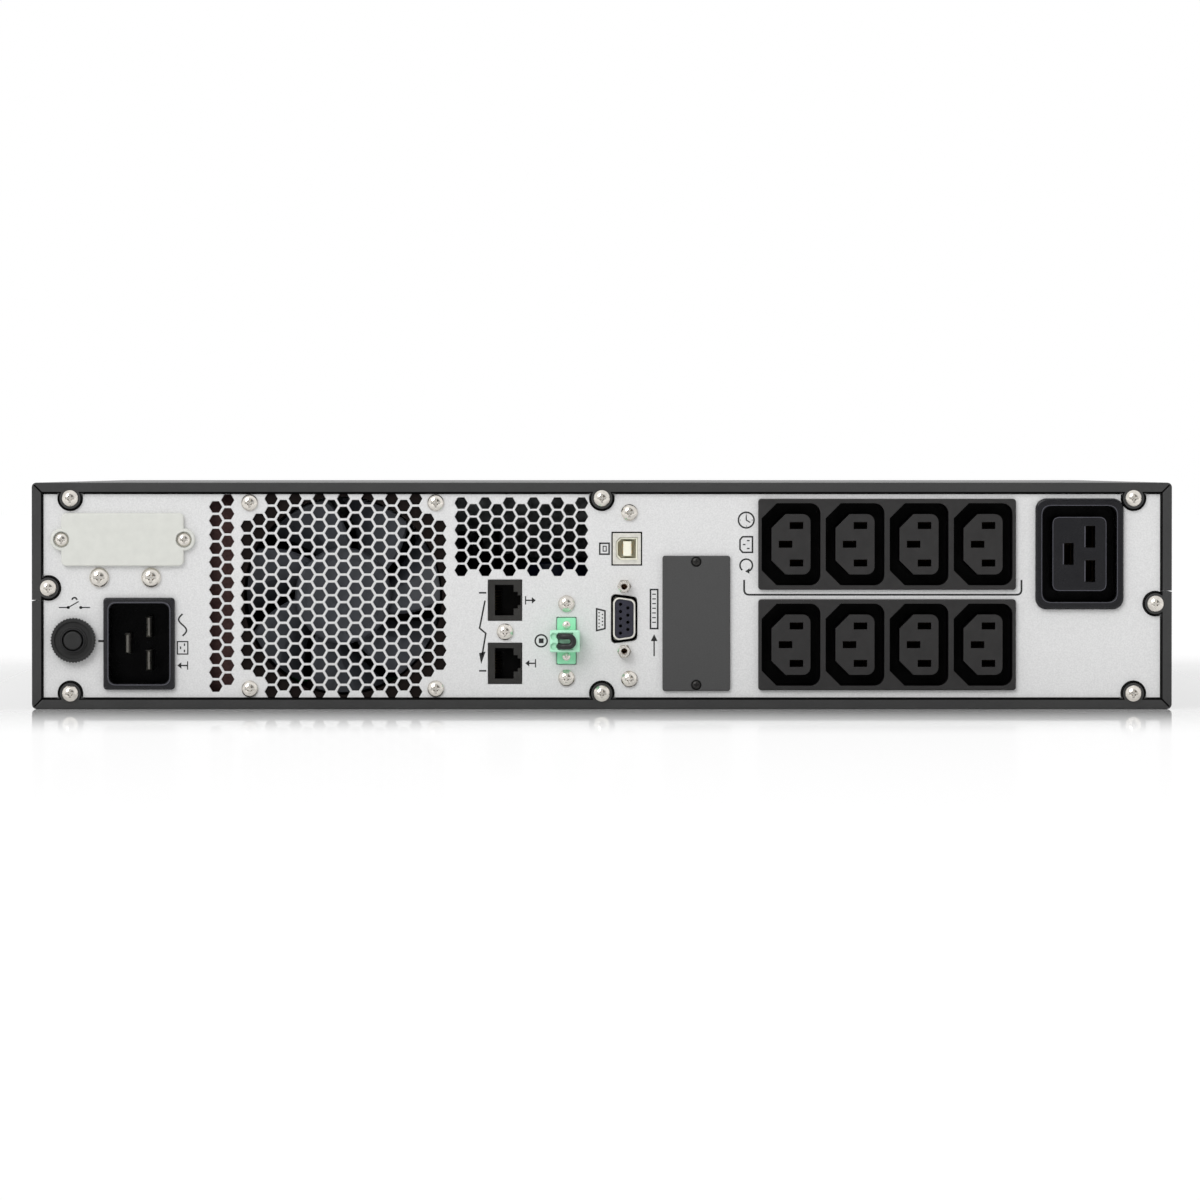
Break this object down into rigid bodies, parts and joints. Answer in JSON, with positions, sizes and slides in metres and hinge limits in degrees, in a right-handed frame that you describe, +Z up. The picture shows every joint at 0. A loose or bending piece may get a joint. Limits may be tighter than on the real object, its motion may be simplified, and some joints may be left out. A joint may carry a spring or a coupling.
{
  "type": "rackmount ups",
  "caption": "Two-unit rack-mount uninterruptible power supply: flat steel case, rear panel of outlets, ports and fan vent, front battery drawer and turnable display.",
  "frame": {"origin": "middle of the underside of the case, on the base_face mount", "axes": "+Z up through the top cover; +Y towards the front bezel, so the rear panel faces -Y; +X to the right when the rear panel is looked at square on"},
  "size_m": [0.438, 0.6147, 0.087],
  "materials": {
    "cover_coat": "fine-textured dark grey powder coat",
    "panel_coat": "fine-textured light grey powder coat",
    "inner_steel": "plain zinc-plated sheet",
    "screw_nickel": "bright nickel plate",
    "black_screw": "black oxide",
    "white_cover": "off-white sheet plastic",
    "black_moulding": "black moulded nylon",
    "outlet_moulding": "black glossy moulding",
    "large_outlet_moulding": "black glossy moulding",
    "inlet_moulding": "black satin moulding",
    "contact_brass": "bright brass",
    "pin_nickel": "nickel-plated brass",
    "gold_contact": "gold flash",
    "jack_moulding": "black moulding",
    "green_moulding": "light green moulding",
    "black_wire": "black insulation",
    "white_moulding": "white moulding",
    "slot_coat": "dark grey satin coat",
    "fan_moulding": "dark grey moulding",
    "board": "green solder mask",
    "heatsink_metal": "plain extrusion",
    "can_sleeve": "dark blue sleeve on an aluminium can",
    "core_steel": "varnished laminations",
    "coil_copper": "varnished copper wire and tape",
    "battery_case": "dark grey case",
    "battery_plates": "lead plates and absorbent mats",
    "front_moulding": "black moulding with a fine spark texture",
    "display_moulding": "gloss black",
    "display_glass": "smoked acrylic",
    "key_cap": "mid grey key"
  },
  "bodies": {
    "case": {"top_cover": "cover_coat", "bottom_cover": "cover_coat", "rear_panel": "panel_coat", "cover_screws": "screw_nickel", "fan_screws": "screw_nickel", "terminal_cover_screws": "screw_nickel", "panel_screws": "screw_nickel", "front_frame": "inner_steel", "bay_divider": "inner_steel", "bay_rails": "white_moulding", "outlet_block_upper": "outlet_moulding", "outlet_block_lower": "outlet_moulding", "large_outlet_housing": "large_outlet_moulding", "outlet_contacts": "contact_brass", "inlet_housing": "inlet_moulding", "inlet_pins": "pin_nickel", "breaker_body": "black_moulding", "breaker_nut": "black_moulding", "terminal_cover": "white_cover", "surge_jacks": "jack_moulding", "jack_contacts": "gold_contact", "epo_header": "green_moulding", "epo_header_screws": "screw_nickel", "usb_shell": "pin_nickel", "usb_tongue": "white_moulding", "serial_shell": "pin_nickel", "serial_insert": "black_moulding", "serial_jackscrews": "screw_nickel", "slot_cover": "slot_coat", "slot_cover_screws": "black_screw", "card_guides": "black_moulding", "fan_frame": "black_moulding", "main_board": "board", "board_standoffs": "contact_brass", "comm_board": "board", "surge_board": "board", "heatsinks": "heatsink_metal", "bus_capacitors": "can_sleeve", "transformer_core": "core_steel", "transformer_windings": "coil_copper", "transformer_bracket": "inner_steel", "battery_socket": "black_moulding", "control_bezel": "front_moulding"},
    "breaker_button": {"breaker_button": "black_moulding"},
    "emergency_plug": {"epo_plug": "green_moulding", "epo_loop_wire": "black_wire"},
    "fan_rotor": {"fan_rotor": "fan_moulding"},
    "battery_drawer": {"battery_tray": "inner_steel", "battery_cases": "battery_case", "battery_cells": "battery_plates", "battery_terminals": "pin_nickel", "battery_plug": "black_moulding", "drawer_front": "front_moulding"},
    "thumbscrew_left": {"thumbscrew_left": "screw_nickel"},
    "thumbscrew_right": {"thumbscrew_right": "screw_nickel"},
    "display": {"display_housing": "display_moulding", "display_window": "display_glass"},
    "mute_key": {"mute_button": "key_cap"},
    "select_key": {"select_button": "key_cap"},
    "power_key": {"power_button": "key_cap"}
  },
  "joints": [
    {"name": "fan_spin", "type": "hinge", "parent": "case", "child": "fan_rotor", "pos_m": [-0.0996, -0.285, 0.0435], "axis": [0, 1, 0], "continuous": true},
    {"name": "breaker_reset", "type": "slide", "parent": "case", "child": "breaker_button", "axis": [0, -1, 0], "range_m": [0, 0.004]},
    {"name": "emergency_plug_pull", "type": "slide", "parent": "case", "child": "emergency_plug", "axis": [0, -1, 0], "range_m": [0, 0.03]},
    {"name": "battery_drawer_slide", "type": "slide", "parent": "case", "child": "battery_drawer", "axis": [0, 1, 0], "range_m": [0, 0.25]},
    {"name": "thumbscrew_left_turn", "type": "hinge", "parent": "battery_drawer", "child": "thumbscrew_left", "pos_m": [-0.2113, 0.285, 0.0435], "axis": [0, 1, 0], "continuous": true},
    {"name": "thumbscrew_right_turn", "type": "hinge", "parent": "battery_drawer", "child": "thumbscrew_right", "pos_m": [0.103, 0.285, 0.0435], "axis": [0, 1, 0], "continuous": true},
    {"name": "display_turn", "type": "hinge", "parent": "case", "child": "display", "pos_m": [0.165, 0.285, 0.0435], "axis": [0, 1, 0], "range_deg": [0, 90]},
    {"name": "mute_key_press", "type": "slide", "parent": "display", "child": "mute_key", "axis": [0, -1, 0], "range_m": [0, 0.0012], "stiffness_N_per_m": 1200},
    {"name": "select_key_press", "type": "slide", "parent": "display", "child": "select_key", "axis": [0, -1, 0], "range_m": [0, 0.0012], "stiffness_N_per_m": 1200},
    {"name": "power_key_press", "type": "slide", "parent": "display", "child": "power_key", "axis": [0, -1, 0], "range_m": [0, 0.0012], "stiffness_N_per_m": 1200}
  ]
}
